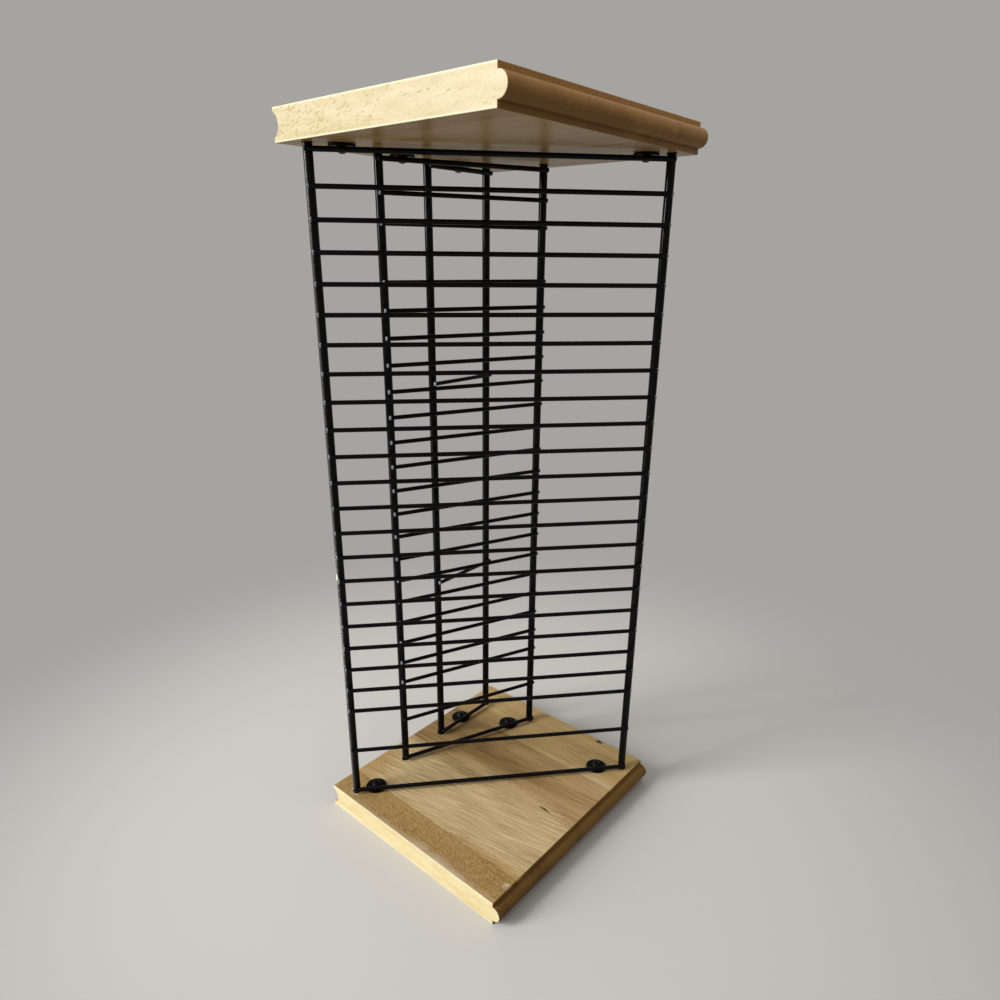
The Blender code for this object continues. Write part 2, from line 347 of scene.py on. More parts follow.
def make_plank(board, number, cutter):
    """One stave, swept from its front to its back, sanded where that is the board's own edge."""
    low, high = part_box(f"{board}_stave_{number}")
    closing = (GLUE_LINE - HAIRLINE) / 2
    first, last = number == 1, number == STAVES
    front = low.y if first else low.y - closing
    back = high.y if last else high.y + closing
    shape = bmesh.new()
    ring = [shape.verts.new((CORNER_X + x, front, low.z + z)) for x, z in board_outline()]
    front_face = shape.faces.new(ring)
    swept = bmesh.ops.extrude_face_region(shape, geom=[front_face])["geom"]
    back_face = next(item for item in swept if isinstance(item, bmesh.types.BMFace))
    bmesh.ops.translate(shape, verts=back_face.verts, vec=(0.0, back - front, 0.0))
    outer = []
    if first:
        outer.extend(front_face.edges)
    if last:
        outer.extend(back_face.edges)
    if outer:
        bmesh.ops.bevel(
            shape, geom=outer, offset=SANDED_RADIUS, segments=SANDED_STEPS, profile=0.5, affect="EDGES",
            clamp_overlap=True)
    plank = make_object(f"{board}_plank_{number}", shape)
    cut_or_join(plank, cutter, "DIFFERENCE")
    plank.modifiers.new("flat faces stay flat", "WEIGHTED_NORMAL").keep_sharp = True
    return plank


planks = {}
for board, into in (("base", -1), ("top", 1)):
    low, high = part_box(f"{board}_stave_1")
    cutter = board_cutter(board, high.z if board == "base" else low.z, into)
    for number in range(1, STAVES + 1):
        planks[board, number] = make_plank(board, number, cutter)
    bpy.data.objects.remove(cutter)
print("planks:", {plank.name: len(plank.data.polygons) for plank in planks.values()})

# %% [markdown]
# ## Lacquered hardwood
# The boards look like oak, mango or a near relation: golden brown, with short dark vessels and staves of
# unlike tone, under a thin satin lacquer. Wood is a bundle of fibres, so the same stave shows three different
# faces: long streaks on its wide faces, pale edge grain with short dashes on its long edges, and darker,
# mottled end grain where the bead and the cove are cut across the fibres. A picture wrapped round the board
# could not turn those corners. So the pattern is worked out in space: rings about a heart line along X, with
# everything stretched along the fibres, and the face's direction picks the tone.

# %% Looks of the staves
# Colours of each stave's face; how far its fibres run out of true (degrees); where its heart lies from the
# board's middle (Y and Z, mm); the width of a year's ring and how far the rings wander (mm); how much darker
# its beaded end is than its coved one; and the strengths of the rings, the broad and the fine streaks, and
# the flecks
STAVE_TRAITS = (
    "light", "dark", "run", "heart", "ring", "wander", "darker_bead", "rings", "streak", "fibre", "fleck")
STAVE_LOOKS = {
    ("base", 1): ("#a38757", "#785b36", 4.0, (-30, -90), 5.0, 3.0, 0.0, 0.5, 0.4, 0.8, 2.6),
    ("base", 2): ("#c0ab82", "#977f57", 10.0, (-160, 10), 6.0, 1.5, 0.0, 0.7, 0.6, 3.6, 0.0),
    ("base", 3): ("#a3885e", "#6f5632", 6.0, (60, -70), 7.0, 5.0, -0.4, 0.9, 1.1, 2.2, 0.0),
    ("base", 4): ("#b19868", "#8b7348", 3.0, (190, 30), 6.0, 2.0, 0.1, 0.8, 1.0, 2.4, 0.0),
    ("top", 1): ("#b6945b", "#8b6a3a", 3.0, (-50, -80), 6.0, 3.0, 0.0, 0.8, 1.0, 1.6, 0.0),
    ("top", 2): ("#b89960", "#8e6e3d", -4.0, (-140, 20), 6.0, 2.0, 0.0, 0.8, 1.0, 1.6, 0.0),
    ("top", 3): ("#b18e5a", "#856237", 5.0, (70, -70), 6.0, 4.0, 0.0, 0.8, 1.0, 1.6, 0.0),
    ("top", 4): ("#b6955e", "#8c6c3d", 2.0, (180, 30), 6.0, 2.0, 0.0, 0.8, 1.0, 1.6, 0.0),
}
# Colours of the other cuts, for each board
EDGE_GRAIN = {"base": ("#c9c19e", "#b9a576"), "top": ("#c4b89c", "#b3a47d")}
END_GRAIN = {"base": ("#75562f", "#4e3519"), "top": ("#b98b56", "#8c673b")}
print("staves with a look of their own:", len(STAVE_LOOKS))

# %% Patterns of the grain
# Length and width of each pattern's cells along and across the fibres, in mm, and its detail. Real vessels
# are about 0.2 mm wide and fibres far finer; both are drawn 0.45 mm wide, so that they show from half a metre
# away
GRAIN_PATTERNS = {
    "wander": (90.0, 30.0, 2.0),
    "tone": (150.0, 22.0, 2.0),
    "streak": (34.0, 1.2, 2.0),
    "fibre": (26.0, 0.45, 1.0),
    "vessel": (4.5, 0.45, 1.0),
    "dash": (3.3, 0.95, 1.0),
    "patch": (18.0, 4.0, 3.0),
    "scuff": (1.5, 0.7, 3.0),
}
GRAIN_ROUGHNESS = 0.55
# Each stave is cut from another log, so it reads the patterns this much further on than the one before (mm)
LOG_STEP = Vector((470.0, 0.0, 310.0))
# How far the dashes on the long edges climb
DASH_CLIMB = math.radians(12.0)
RING_DETAIL = 4.0
RING_ROUGHNESS = 0.62
# Flecks curve across the fibres: the size of their cells in mm, their slope at the board's middle, and how
# much it changes with each mm along X
FLECK_CELL = (2.2, 0.5, 0.5)
FLECK_SLOPE = 0.95
FLECK_BEND = -0.0098


def grain_patterns(tree, place, number, run):
    """Every pattern of one stave, by name, stretched along fibres that run out of true by some degrees."""
    running = add_node(tree, "ShaderNodeVectorRotate", {"rotation_type": "Z_AXIS"}, {
        "Vector": place, "Angle": -math.radians(run)}).outputs[0]
    along = add_node(tree, "ShaderNodeVectorMath", {"operation": "ADD"}, {
        0: running, 1: LOG_STEP * number}).outputs[0]
    climbing = add_node(tree, "ShaderNodeVectorRotate", {"rotation_type": "Y_AXIS"}, {
        "Vector": along, "Angle": DASH_CLIMB}).outputs[0]
    grain = {}
    for name, (length, width, detail) in GRAIN_PATTERNS.items():
        cells = add_node(tree, "ShaderNodeVectorMath", {"operation": "DIVIDE"}, {
            0: climbing if name == "dash" else along, 1: (length, width, width)}).outputs[0]
        grain[name] = add_node(tree, "ShaderNodeTexNoise", {}, {
            "Vector": cells, "Scale": 1.0, "Detail": detail, "Roughness": GRAIN_ROUGHNESS}).outputs[0]
    return grain


def year_rings(tree, from_middle, wander, look):
    """Rings about the heart line, wandering along the tree, with years of unlike width."""
    heart_y, heart_z = look["heart"]
    from_heart = add_node(tree, "ShaderNodeVectorMath", {"operation": "MULTIPLY_ADD"}, {
        0: from_middle, 1: (0.0, 1.0, 1.0), 2: (0.0, -heart_y, -heart_z)}).outputs[0]
    radius = add_node(tree, "ShaderNodeVectorMath", {"operation": "LENGTH"}, {
        0: from_heart}).outputs["Value"]
    wandering = add_node(tree, "ShaderNodeMath", {"operation": "MULTIPLY_ADD"}, {
        0: wander, 1: 2 * look["wander"], 2: radius}).outputs[0]
    year = add_node(tree, "ShaderNodeMath", {"operation": "DIVIDE"}, {
        0: wandering, 1: look["ring"]}).outputs[0]
    return add_node(tree, "ShaderNodeTexNoise", {"noise_dimensions": "1D"}, {
        "W": year, "Scale": 1.0, "Detail": RING_DETAIL, "Roughness": RING_ROUGHNESS}).outputs[0]


def ray_flecks(tree, spot):
    """Flecks, which curve across the fibres where the saw met the rays."""
    bend = add_node(tree, "ShaderNodeMath", {"operation": "MULTIPLY_ADD"}, {
        0: spot["X"], 1: FLECK_BEND / 2, 2: FLECK_SLOPE}).outputs[0]
    across = add_node(tree, "ShaderNodeMath", {"operation": "MULTIPLY_ADD"}, {
        0: bend, 1: spot["X"], 2: spot["Y"]}).outputs[0]
    curved = add_node(tree, "ShaderNodeCombineXYZ", {}, {0: spot["X"], 1: across, 2: spot["Z"]}).outputs[0]
    cells = add_node(tree, "ShaderNodeVectorMath", {"operation": "DIVIDE"}, {
        0: curved, 1: FLECK_CELL}).outputs[0]
    return add_node(tree, "ShaderNodeTexNoise", {}, {
        "Vector": cells, "Scale": 1.0, "Detail": 1.0}).outputs[0]


def darkness(tree, tones, weights):
    """How dark a spot is: a half, and each pattern's share above or below its own half."""
    total = 0.5
    for name, weight in weights.items():
        centred = add_node(tree, "ShaderNodeMath", {"operation": "SUBTRACT"}, {
            0: tones[name], 1: 0.5}).outputs[0]
        total = add_node(tree, "ShaderNodeMath", {"operation": "MULTIPLY_ADD"}, {
            0: centred, 1: weight, 2: total}).outputs[0]
    return total


print("patterns of the grain:", ", ".join(GRAIN_PATTERNS))

# %% Cuts through the wood
# How squarely a spot faces along Y or X where it starts to count as a long edge or an end, and where it fully
# does; and where the bead starts, in mm from the end of the flat face
FACING_FROM = 0.3
FACING_TO = 0.85
BEAD_FROM = -0.2
BEAD_TO = 0.1
# Short dark vessels on the wide faces: how much the broad tone gathers them, where they start and are full
# in their pattern, and their strength
VESSEL_COLOUR = "#6b5430"
VESSEL_GATHER = 0.3
VESSEL_FROM = 0.78
VESSEL_TO = 0.86
VESSEL_SHARE = 0.45
# Dashes on the long edges, in the same way. How crowded they are changes along X (mm), from a board's coved
# end to its beaded one
DASH_COLOUR = "#9c8f5e"
DASH_CROWDS = {"base": (-0.06, -0.09), "top": (0.05, -0.05)}
DASH_COVED_X = -60.0
DASH_BEADED_X = 40.0
DASH_FROM = 0.6
DASH_TO = 0.68
DASH_SHARE = 0.7


def cut_shares(tree, spot):
    """How much of a long edge, and of an end, each spot is. The rest is a wide face."""
    normal = add_node(tree, "ShaderNodeTexCoord", {}, {}).outputs["Normal"]
    direction = add_node(tree, "ShaderNodeSeparateXYZ", {}, {0: normal}).outputs
    shares = {}
    for cut, part in (("edge", direction["Y"]), ("end", direction["X"])):
        facing = add_node(tree, "ShaderNodeMath", {"operation": "ABSOLUTE"}, {0: part}).outputs[0]
        shares[cut] = add_node(tree, "ShaderNodeMapRange", {"interpolation_type": "SMOOTHSTEP"}, {
            "Value": facing, "From Min": FACING_FROM, "From Max": FACING_TO}).outputs[0]
    # The whole round of the bead is an end, also where it faces up or down
    flat_end = (CORNER_X + BOARD_WIDTH) / MM
    on_bead = add_node(tree, "ShaderNodeMapRange", {}, {
        "Value": spot["X"], "From Min": flat_end + BEAD_FROM, "From Max": flat_end + BEAD_TO}).outputs[0]
    round_bead = add_node(tree, "ShaderNodeMath", {"operation": "SUBTRACT", "use_clamp": True}, {
        0: on_bead, 1: shares["edge"]}).outputs[0]
    shares["end"] = add_node(tree, "ShaderNodeMath", {"operation": "MAXIMUM"}, {
        0: shares["end"], 1: round_bead}).outputs[0]
    return shares


def vessel_share(tree, grain):
    """Where the short dark vessels are."""
    gathered = add_node(tree, "ShaderNodeMath", {"operation": "MULTIPLY_ADD"}, {
        0: grain["tone"], 1: VESSEL_GATHER, 2: grain["vessel"]}).outputs[0]
    return add_node(tree, "ShaderNodeMapRange", {}, {
        "Value": gathered, "From Min": VESSEL_FROM, "From Max": VESSEL_TO, "To Max": VESSEL_SHARE}).outputs[0]


def dash_share(tree, spot, dash, crowds):
    """Where the dashes of a long edge are."""
    crowd = add_node(tree, "ShaderNodeMapRange", {}, {
        "Value": spot["X"], "From Min": DASH_COVED_X, "From Max": DASH_BEADED_X, "To Min": crowds[0],
        "To Max": crowds[1]}).outputs[0]
    crowded = add_node(tree, "ShaderNodeMath", {"operation": "ADD"}, {0: dash, 1: crowd}).outputs[0]
    return add_node(tree, "ShaderNodeMapRange", {}, {
        "Value": crowded, "From Min": DASH_FROM, "From Max": DASH_TO, "To Max": DASH_SHARE}).outputs[0]


print("the bead starts at X =", round((CORNER_X + BOARD_WIDTH) / MM, 2), "mm")

# %% Wear and marks
# Bare wood at the worn corners: grubby on the wide faces, pale on the long edges, where the pale rim is
# partly a painted highlight. The width that wears (mm), where wear starts and is full, and its strength
BARE_FACE = "#a09273"
BARE_EDGE_AND_HIGHLIGHT = "#e4dac0"
WORN_AND_HIGHLIT_WIDTH = 1.6
WORN_AND_HIGHLIT_FROM = 0.9
WORN_AND_HIGHLIT_TO = 2.2
WORN_AND_HIGHLIT_SHARE = 0.7
board_corner = Vector((CORNER_X, CORNER_Y))
socket_places = {ladder: tuple((left - board_corner) / MM) for ladder, (left, _) in axes.items()}
# Marks on the base board's upper face: plan place from its coved front corner and half-sizes in mm, colour
# and strength. The front stave has a grubby front edge with rubbed spots, a flake lost at the bead and the
# pale rim of a drilled socket. The second has a dark wedge at the bead, a warm coved end, a dusky strip along
# its glue line and another rim; the third a dusky end, a pale strip and a dark streak; and the back one a
# dusky end, pale sapwood and a knock in its edge
BASE_MARKS = {
    1: (
        dict(place=(86.0, 0.0), halves=(110.0, 3.8, 0.8), colour="#9c8e70", share=0.7),
        dict(place=(85.6, 2.6), halves=(9.0, 4.0, 2.0), colour="#b8aa92", share=0.35),
        dict(place=(104.0, 1.4), halves=(13.0, 4.4, 2.0), colour="#b8aa92", share=0.4),
        dict(place=(119.0, 1.2), halves=(7.0, 3.4, 2.0), colour="#b8aa92", share=0.3),
        dict(place=(146.0, 14.8), halves=(2.6, 2.8, 2.0), colour="#d2bf9f", share=0.6),
        dict(place=(147.2, 14.4), halves=(2.2, 1.9, 2.0), colour="#95785c", share=0.9),
        dict(place=socket_places["front"], halves=(4.4, 4.4, 1.0), colour="#d9ccb2", share=0.8),
    ),
    2: (
        dict(place=(150.0, 21.7), halves=(80.0, 7.0, 2.0), colour="#997c50", share=0.9),
        dict(place=(0.0, 38.0), halves=(20.0, 24.0, 2.0), colour="#9c7f50", share=0.85),
        dict(place=(40.0, 74.0), halves=(75.0, 9.0, 2.0), colour="#8d7752", share=0.85),
        dict(place=socket_places["middle"], halves=(4.2, 4.2, 1.0), colour="#d9ccb2", share=0.7),
    ),
    3: (
        dict(place=(20.0, 108.0), halves=(62.0, 20.0, 2.0), colour="#5f4729", share=0.35),
        dict(place=(95.0, 78.0), halves=(75.0, 8.0, 2.0), colour="#b39a74", share=0.75),
        dict(place=(124.7, 78.8), halves=(5.5, 1.1, 2.0), colour="#35240f", share=0.95),
    ),
    4: (
        dict(place=(15.0, 125.0), halves=(75.0, 16.0, 2.0), colour="#8a7149", share=0.85),
        dict(place=(138.0, 123.0), halves=(62.0, 10.0, 2.0), colour="#b8a17a", share=0.5),
        dict(place=(113.3, 162.6), halves=(3.6, 2.2, 2.0), colour="#2e2114", share=0.95),
    ),
}
# How ragged a mark's outline is, where it fades out and is full in half-sizes, and its paler and darker tone
MARK_RAGGED = 1.6
MARK_OUTSIDE = 1.9
MARK_INSIDE = 1.1
MARK_PALER = 1.3
MARK_DARKER = 0.7


def corner_wear_and_highlight(tree, from_middle, grain):
    """Where handling has worn the long corners, whose pale rims are partly a painted highlight: close to a
    wide face and to a long edge at once.
    """
    inner = ((cad_high.y - cad_low.y) / 2 / MM - WORN_AND_HIGHLIT_WIDTH, BOARD_THICKNESS / 2 / MM - WORN_AND_HIGHLIT_WIDTH)
    reach = add_node(tree, "ShaderNodeVectorMath", {"operation": "ABSOLUTE"}, {0: from_middle}).outputs[0]
    past = add_node(tree, "ShaderNodeVectorMath", {"operation": "SUBTRACT"}, {
        0: reach, 1: (0.0, *inner)}).outputs[0]
    outside = add_node(tree, "ShaderNodeVectorMath", {"operation": "MAXIMUM"}, {
        0: past, 1: (0.0, 0.0, 0.0)}).outputs[0]
    parts = add_node(tree, "ShaderNodeSeparateXYZ", {}, {0: outside}).outputs
    corner = add_node(tree, "ShaderNodeMath", {"operation": "MULTIPLY"}, {
        0: parts["Y"], 1: parts["Z"]}).outputs[0]
    uneven = add_node(tree, "ShaderNodeMath", {"operation": "ADD"}, {
        0: grain["patch"], 1: grain["scuff"]}).outputs[0]
    patchy = add_node(tree, "ShaderNodeMath", {"operation": "MULTIPLY"}, {0: corner, 1: uneven}).outputs[0]
    return add_node(tree, "ShaderNodeMapRange", {}, {
        "Value": patchy, "From Min": WORN_AND_HIGHLIT_FROM, "From Max": WORN_AND_HIGHLIT_TO, "To Max": WORN_AND_HIGHLIT_SHARE}).outputs[0]


def mark_layer(tree, mark, place, face_level, scuff, through):
    """Where a mark is, and its colour. The fibres still show through it."""
    x, y = mark["place"]
    away = add_node(tree, "ShaderNodeVectorMath", {"operation": "SUBTRACT"}, {
        0: place, 1: (CORNER_X / MM + x, CORNER_Y / MM + y, face_level / MM)}).outputs[0]
    scaled = add_node(tree, "ShaderNodeVectorMath", {"operation": "DIVIDE"}, {
        0: away, 1: mark["halves"]}).outputs[0]
    distance = add_node(tree, "ShaderNodeVectorMath", {"operation": "LENGTH"}, {0: scaled}).outputs["Value"]
    ragged = add_node(tree, "ShaderNodeMath", {"operation": "MULTIPLY_ADD"}, {
        0: scuff, 1: MARK_RAGGED, 2: distance}).outputs[0]
    mask = add_node(tree, "ShaderNodeMapRange", {"interpolation_type": "SMOOTHSTEP"}, {
        "Value": ragged, "From Min": MARK_OUTSIDE, "From Max": MARK_INSIDE,
        "To Max": mark["share"]}).outputs[0]
    paler, darker = ([part * tone for part in linear(mark["colour"])] for tone in (MARK_PALER, MARK_DARKER))
    stained = add_node(tree, "ShaderNodeMix", {"data_type": "RGBA"}, {
        0: through, 6: paler, 7: darker}).outputs[2]
    return mask, stained


print("marks on the base board:", sum(len(marks) for marks in BASE_MARKS.values()))

# %% Wood of a stave
# How much each pattern darkens a long edge and an end. An end is darker on its lower half, which is painted
# shade, and paler towards the back. On a face the broad tone counts alike on every stave, and the stave's own
# look gives the rest
FACE_TONE = 1.2
EDGE_WEIGHTS = {"tone": 1.2, "patch": 1.6, "scuff": 1.2}
END_WEIGHTS = {"fibre": 1.6, "streak": 1.2, "tone": 1.2, "low": 0.9, "back": -0.5}
# Between which places, in mm, a board changes from its coved end to its beaded one and from front to back
COVED_X, BEADED_X = -75.0, 75.0
FRONT_Y, BACK_Y = -80.0, 80.0
# Satin lacquer: its shine on the wood and on end grain, which drinks it; its roughness, and what wear adds;
# and how far it sinks into the fibres
LACQUER_IOR = 1.5
LACQUER_SHINE = 0.08
END_SHINE = 0.04
LACQUER_SMOOTH, LACQUER_ROUGH = 0.25, 0.32
WORN_ROUGHNESS = 0.3
FIBRE_RELIEF = 0.3
FIBRE_DEPTH = 0.03 * MM


def lacquered_hardwood(board, number):
    """The wood of one stave, as rings, fibres and vessels in space, under satin lacquer."""
    look = dict(zip(STAVE_TRAITS, STAVE_LOOKS[board, number]))
    finish, tree, shader = start_finish(f"lacquered_hardwood_{board}_{number}", IOR=LACQUER_IOR)
    low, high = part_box(f"{board}_stave_1")
    place = place_in_mm(tree)
    from_middle = add_node(tree, "ShaderNodeVectorMath", {"operation": "SUBTRACT"}, {
        0: place, 1: (0.0, 0.0, (low.z + high.z) / 2 / MM)}).outputs[0]
    spot = add_node(tree, "ShaderNodeSeparateXYZ", {}, {0: place}).outputs
    level = add_node(tree, "ShaderNodeSeparateXYZ", {}, {0: from_middle}).outputs["Z"]
    grain = grain_patterns(tree, place, number, look["run"])
    vessels = vessel_share(tree, grain)
    shares = cut_shares(tree, spot)
    worn_and_highlit = corner_wear_and_highlight(tree, from_middle, grain)

    # What makes a spot darker or paler: the patterns, and slow changes across the board
    tones = {
        **grain,
        "rings": year_rings(tree, from_middle, grain["wander"], look),
        "fleck": ray_flecks(tree, spot),
    }
    half_bead = BEAD_RADIUS / 2 / MM
    slow_changes = {
        "bead": (spot["X"], COVED_X, BEADED_X),
        "back": (spot["Y"], FRONT_Y, BACK_Y),
        # Painted shade: an end grows darker from its top to its bottom
        "low": (level, half_bead, -half_bead),
    }
    for name, (value, start, end) in slow_changes.items():
        tones[name] = add_node(tree, "ShaderNodeMapRange", {}, {
            "Value": value, "From Min": start, "From Max": end}).outputs[0]
    face_weights = {
        "rings": look["rings"], "streak": look["streak"], "fibre": look["fibre"], "tone": FACE_TONE,
        "fleck": look["fleck"], "bead": look["darker_bead"]}
    cuts = {
        "face": (look["light"], look["dark"], face_weights),
        "edge": (*EDGE_GRAIN[board], EDGE_WEIGHTS),
        "end": (*END_GRAIN[board], END_WEIGHTS),
    }
    shades = {}
    for cut, (light, dark, weights) in cuts.items():
        shades[cut] = add_node(tree, "ShaderNodeMix", {"data_type": "RGBA"}, {
            0: darkness(tree, tones, weights), 6: linear(light), 7: linear(dark)}).outputs[2]

    # The face lies lowest, and each layer covers a share of what is under it
    dashed_edge = add_node(tree, "ShaderNodeMix", {"data_type": "RGBA"}, {
        0: dash_share(tree, spot, grain["dash"], DASH_CROWDS[board]), 6: shades["edge"],
        7: linear(DASH_COLOUR)}).outputs[2]
    # Bare wood at the corners; its pale long edge is partly a painted highlight
    bare_and_highlit = add_node(tree, "ShaderNodeMix", {"data_type": "RGBA"}, {
        0: shares["edge"], 6: linear(BARE_FACE), 7: linear(BARE_EDGE_AND_HIGHLIGHT)}).outputs[2]
    layers = [
        (vessels, linear(VESSEL_COLOUR)), (shares["edge"], dashed_edge), (shares["end"], shades["end"]),
        (worn_and_highlit, bare_and_highlit)]
    if board == "base":
        through = darkness(tree, tones, {"fibre": look["fibre"], "streak": look["streak"]})
        for mark in BASE_MARKS[number]:
            layers.append(mark_layer(tree, mark, place, high.z, grain["scuff"], through))
    colour = shades["face"]
    for share, layer in layers:
        colour = add_node(tree, "ShaderNodeMix", {"data_type": "RGBA"}, {
            0: share, 6: colour, 7: layer}).outputs[2]
    tree.links.new(colour, shader.inputs["Base Color"])

    shine = add_node(tree, "ShaderNodeMapRange", {}, {
        "Value": shares["end"], "To Min": LACQUER_SHINE, "To Max": END_SHINE}).outputs[0]
    tree.links.new(shine, shader.inputs["Specular IOR Level"])
    dull = add_node(tree, "ShaderNodeMapRange", {}, {
        "Value": grain["fibre"], "From Min": NOISE_LOW, "From Max": NOISE_HIGH, "To Min": LACQUER_SMOOTH,
        "To Max": LACQUER_ROUGH}).outputs[0]
    rough = add_node(tree, "ShaderNodeMath", {"operation": "MULTIPLY_ADD", "use_clamp": True}, {
        0: worn_and_highlit, 1: WORN_ROUGHNESS, 2: dull}).outputs[0]
    tree.links.new(rough, shader.inputs["Roughness"])
    sunk = add_node(tree, "ShaderNodeMath", {"operation": "SUBTRACT"}, {
        0: grain["fibre"], 1: vessels}).outputs[0]
    relief = add_node(tree, "ShaderNodeBump", {}, {
        "Strength": FIBRE_RELIEF, "Distance": FIBRE_DEPTH, "Height": sunk})
    tree.links.new(relief.outputs["Normal"], shader.inputs["Normal"])
    return finish


for (board, number), plank in planks.items():
    stand_for(plank, f"{board}_stave_{number}", f"{board}_wood", lacquered_hardwood(board, number))
print("planks dressed:", len(planks))

# %% [markdown]
# ## The wire ladders
# A ladder is resistance-welded: the bars are laid across two thick uprights and pressed in while a current
# melts the touching metal, so each bar sinks in a little and a thin lip of metal is squeezed out round it.
# Round curves would be quicker, but their bars would pass through the uprights with no weld. So bars with
# slightly domed ends and flattened beads are made in the ladder's own frame and joined to the uprights with
# a Boolean union, and a ladder is one clean skin.

# %% Bars of a ladder
RAIL_DIAMETER = 2.8 * MM
RUNG_DIAMETER = 2.6 * MM
BAR_END_ROUNDING = 0.45 * MM
BAR_END_STEPS = 3
BAR_SIDES = 20
# How far from its sheared end a rung is pale, steel through thin paint and partly a painted glint
PALE_END_LENGTH = 1.0 * MM
# Levels of the bars: the bottom rail, from it to the top rail and to the first rung, and the rungs' steps of
# one pitch above that rung. The back ladder only has two braces
BOTTOM_RAIL_LEVEL = 19.1 * MM
RAIL_SPACING = 392.5 * MM
FIRST_RUNG = 32.5 * MM
RUNG_PITCH = 15.6 * MM
CASE_RUNGS = (0, *range(2, 23))
BRACE_RUNGS = (6, 15)
LADDER_RUNGS = {"front": CASE_RUNGS, "middle": CASE_RUNGS, "back": BRACE_RUNGS}


def bar_shape(length, diameter):
    """A round bar along X, centred, with its cut ends slightly rounded."""
    radius, eased = diameter / 2, BAR_END_ROUNDING
    lower = arc(radius - eased, eased - length / 2, eased, -QUARTER, 0.0, BAR_END_STEPS)
    half = [(0.0, -length / 2), *lower, (radius, PALE_END_LENGTH - length / 2)]
    outline = half + [(r, -height) for r, height in reversed(half)]
    shape = turned(outline, BAR_SIDES)
    shape.transform(Matrix.Rotation(QUARTER, 4, "Y"))
    return shape


def bar_levels(ladder):
    """Level and diameter of each bar: both rails, and then the rungs from the lowest up."""
    levels = [(BOTTOM_RAIL_LEVEL, RAIL_DIAMETER), (BOTTOM_RAIL_LEVEL + RAIL_SPACING, RAIL_DIAMETER)]
    for step in LADDER_RUNGS[ladder]:
        levels.append((BOTTOM_RAIL_LEVEL + FIRST_RUNG + step * RUNG_PITCH, RUNG_DIAMETER))
    return levels


print("bars:", {ladder: len(bar_levels(ladder)) for ladder in LADDERS})

# %% Ladders
UPRIGHT_DIAMETER = 5.0 * MM
UPRIGHT_SIDES = 40
# How far a bar reaches past the uprights' axes, and how deep it sinks into them
BAR_END = 1.5 * MM
WELD_SINK = 0.6 * MM
# Half-sizes of a weld bead along the bar and out of the weld, and how much wider than the bar it is
WELD_ALONG = 2.15 * MM
WELD_OUT = 0.5 * MM
WELD_SPREAD = 0.22 * MM
WELD_SIDES = 20
WELD_RINGS = 10
# Past an upright's axis and in front of this there is only the end of a bar. Between these levels it takes
# the ladder's second finish, pale steel that is partly a painted glint; the rails and the lowest rung stay
# black
END_FORWARD = 2.75 * MM
PALE_ENDS_FROM = 60.0 * MM
PALE_ENDS_TO = 400.0 * MM


def make_ladder(ladder):
    """Two uprights, with every bar and weld bead joined to them."""
    left, right = axes[ladder]
    low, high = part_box(f"{ladder}_frame")
    width = (right - left).length
    along = (right - left).normalized()
    heading = Matrix.Rotation(math.atan2(along.y, along.x), 4, "Z")
    place = Matrix.Translation((*left, 0.0)) @ heading
    uprights, bars, beads = bmesh.new(), bmesh.new(), bmesh.new()
    for x in (0.0, width):
        bmesh.ops.create_cone(
            uprights, cap_ends=True, segments=UPRIGHT_SIDES, radius1=UPRIGHT_DIAMETER / 2,
            radius2=UPRIGHT_DIAMETER / 2, depth=high.z - low.z,
            matrix=place @ Matrix.Translation((x, 0.0, (low.z + high.z) / 2)))
    for level, diameter in bar_levels(ladder):
        forward = UPRIGHT_DIAMETER / 2 + diameter / 2 - WELD_SINK
        bar_place = place @ Matrix.Translation((width / 2, -forward, level))
        add_shape(bars, bar_shape(width + 2 * BAR_END, diameter), bar_place)
        halves = (WELD_ALONG, WELD_OUT, diameter / 2 + WELD_SPREAD, 1.0)
        for x in (0.0, width):
            weld = Matrix.Translation((x, WELD_SINK / 2 - UPRIGHT_DIAMETER / 2, level))
            bmesh.ops.create_uvsphere(
                beads, u_segments=WELD_SIDES, v_segments=WELD_RINGS, radius=1.0,
                matrix=place @ weld @ Matrix.Diagonal(halves))
    made = make_object(f"{ladder}_ladder", uprights)
    for name, shape in (("bars", bars), ("beads", beads)):
        joined = make_object(f"{ladder}_{name}", shape)
        cut_or_join(made, joined, "UNION")
        bpy.data.objects.remove(joined)
    to_ladder = place.inverted()
    for face in made.data.polygons:
        spot = to_ladder @ face.center
        past_upright = max(-spot.x, spot.x - width)
        on_end = spot.y < -END_FORWARD and past_upright > BAR_END - PALE_END_LENGTH
        if on_end and PALE_ENDS_FROM < spot.z < PALE_ENDS_TO:
            face.material_index = 1
    return made


ladders = {ladder: make_ladder(ladder) for ladder in LADDERS}
print("ladders:", {made.name: len(made.data.polygons) for made in ladders.values()})

# %% [markdown]
# ## Black paint on wire
# The wire is sprayed or dipped in a satin black paint. It is never quite flat: surface tension leaves a faint
# orange peel, and dust settles on what faces up. The upright at the open corner has a painted grey reflection
# along its front and is chipped on one stretch, and the chips' pale grey is partly a painted glint. The
# rungs'
# sheared ends are pale: steel through thin paint, and a painted glint as well. All of it could be painted on
# an unwrapped mesh, but it follows from place and direction, so it is procedural.

# %% Wear of the paint, and a painted reflection
# A painted reflection, a grey strip down the front of the front ladder's left upright: how far left of the
# axis its line is, and where it fades out and is full beside that line (mm); where it starts and is full in
# the specks, and its strength
REFLECTION_GREY = "#5c5b58"
REFLECTION_LEFT = 0.2
REFLECTION_OUTSIDE, REFLECTION_INSIDE = 2.3, 0.6
REFLECTION_FROM, REFLECTION_TO = 0.2, 0.65
REFLECTION_SHARE = 0.6
